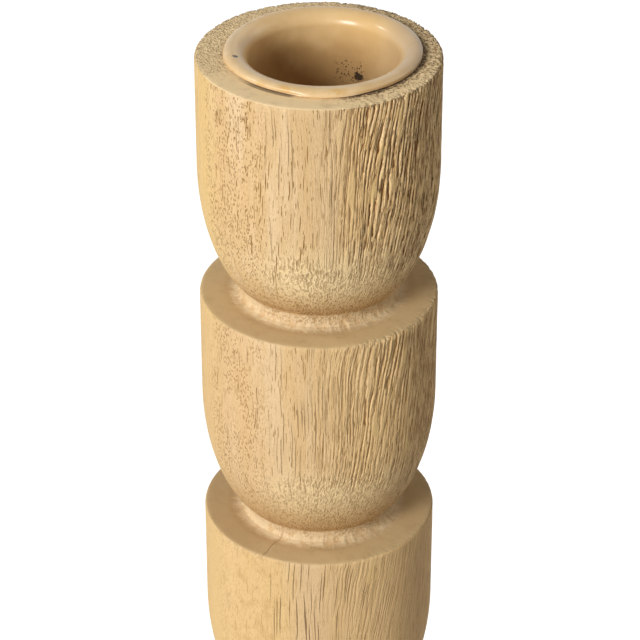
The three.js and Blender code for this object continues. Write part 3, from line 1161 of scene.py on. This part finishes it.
def padOutline(look):
    low, high, radius, edge = padLow.z, padHigh.z, look["radius"], look["edgeRound"]
    outline = [(0, 0, low)]
    along(outline, (radius - edge, low, 18))
    outline += arcOf((radius - edge, low + edge), (edge, edge), -quarter, 0, 4)[1:]
    along(outline, (radius, high - edge / 2, 5))
    outline += arcOf((radius - edge / 2, high - edge / 2), (edge / 2, edge / 2), 0, quarter, 3)[1:]
    return along(outline, (0, high, 3))


def feltNap(point):
    tuft = point.noise(even(2.2), 8, 3, 0.65)
    hair = point.noise(even(7), 21, 2, 0.6)
    return tuft, hair


def padRelief(point, normal):
    tuft, hair = feltNap(point)
    return (tuft * 0.35 + hair * 0.1) * -1


def pressedFelt(look=padLook):
    material, point = turnedMaterial("pressedFelt")[:2]
    tuft, hair = feltNap(point)
    base = tuft.ramp(0.32, 0.68).blend(feltTones["pale"], feltTones["dark"])
    base = (hair.ramp(0.5, 0.7) * 0.5).blend(base, feltTones["hair"])
    height = tuft * 0.3 + hair * 0.15
    return dress(material, {
        "Base Color": base,
        "Roughness": look["roughness"],
        "Sheen Weight": look["sheen"],
        "Normal": height.bump(mm),
    })


pads = turnPiece("felt_pads", padLook, padOutline, pressedFelt(), padRelief)
fit(pads, "stand", "felt", *padNodes)


# Stage, lights and camera

stageLook = {
    "floorHalf": 8,
    "paper": 0.6,
    "paperRoughness": 0.9,
    "paperGlow": 0.74,
    "worldLevel": 0.15,
    "lampDistance": 3,
    "lampAim": 50 * mm,  # below the column's top
}

# turn from the front and lift in degrees; level of light on white that faces the lamp
lampLook = {
    "key": {"turn": -37.5, "lift": 24, "size": (1, 1), "level": 0.94, "tint": (1, 1, 1)},
    "side": {"turn": -99, "lift": 37, "size": (0.14, 0.2), "level": 0.13, "tint": (1, 1, 1)},
    "fill": {"turn": 112, "lift": 38, "size": (1.6, 1.6), "level": 0.138, "tint": (1, 0.94, 0.8)},
}

cameraLook = {
    "back": 377.38 * mm,
    "above": 183.15 * mm,
    "right": 0.16 * mm,
    "pitch": 31.287,
    "focalPixels": 2821.96,
    "imagePixels": 640,
    "sensor": 36,
}


def seenDirectly(start):
    # 1 for rays that show the background, straight or in gloss and glass
    path = start.node("ShaderNodeLightPath").socket.node
    names = ("Is Camera Ray", "Is Glossy Ray", "Is Transmission Ray")
    straight, gloss, glass = [Wire(start.tree, path.outputs[name]) for name in names]
    return straight.larger(gloss).larger(glass)


def makeFloor(look):
    mesh = bpy.data.meshes.new("floor")
    half = look["floorHalf"]
    corners = [(-half, -half, 0), (half, -half, 0), (half, half, 0), (-half, half, 0)]
    mesh.from_pydata(corners, [], [(0, 1, 2, 3)])
    floor = addObject("floor", mesh)
    material, start = newMaterial("floorPaper")
    nodes, paper = material.node_tree.nodes, look["paper"]
    dress(material, {"Base Color": (paper, paper, paper, 1), "Roughness": look["paperRoughness"]})
    strength = seenDirectly(start) * look["paperGlow"]
    glow = start.node("ShaderNodeEmission", {}, {"Color": (1, 1, 1, 1), "Strength": strength})
    matt = Wire(start.tree, nodes["Principled BSDF"].outputs[0])
    both = start.node("ShaderNodeAddShader", {}, {0: matt, 1: glow})
    start.plug(nodes["Material Output"].inputs["Surface"], both)
    mesh.materials.append(material)


def makeWorld(look):
    world = bpy.data.worlds.new("studio")
    world.use_nodes = True
    scene.world = world
    start = Wire(world.node_tree)
    back = world.node_tree.nodes["Background"]
    back.inputs["Color"].default_value = (1, 1, 1, 1)
    level = look["worldLevel"]
    start.plug(back.inputs["Strength"], seenDirectly(start) * (1 - level) + level)


def makeLamp(name, look):
    lamp = bpy.data.lights.new(name, "AREA")
    lamp.shape = "RECTANGLE"
    lamp.size, lamp.size_y = look["size"]
    lamp.color = look["tint"]
    # the power that gives the level
    distance = stageLook["lampDistance"]
    lamp.energy = look["level"] * math.pi ** 2 * distance ** 2
    thing = addObject(name, lamp)
    turn, lift = math.radians(look["turn"]), math.radians(look["lift"])
    target = Vector((0, 0, columnHigh.z - stageLook["lampAim"]))
    away = Vector((math.sin(turn) * math.cos(lift), -math.cos(turn) * math.cos(lift), math.sin(lift)))
    thing.location = target + away * distance
    thing.rotation_euler = away.to_track_quat("Z", "Y").to_euler()


def makeCamera(look):
    camera = bpy.data.cameras.new("camera")
    camera.sensor_width = look["sensor"]
    camera.lens = look["sensor"] * look["focalPixels"] / look["imagePixels"]
    thing = addObject("camera", camera)
    thing.location = (look["right"], -look["back"], columnHigh.z + look["above"])
    thing.rotation_euler = (math.radians(90 - look["pitch"]), 0, 0)
    scene.camera = thing


makeFloor(stageLook)
makeWorld(stageLook)
for lampName, look in lampLook.items():
    makeLamp(lampName, look)
makeCamera(cameraLook)
scene.view_settings.view_transform = "Standard"
print("stage set")
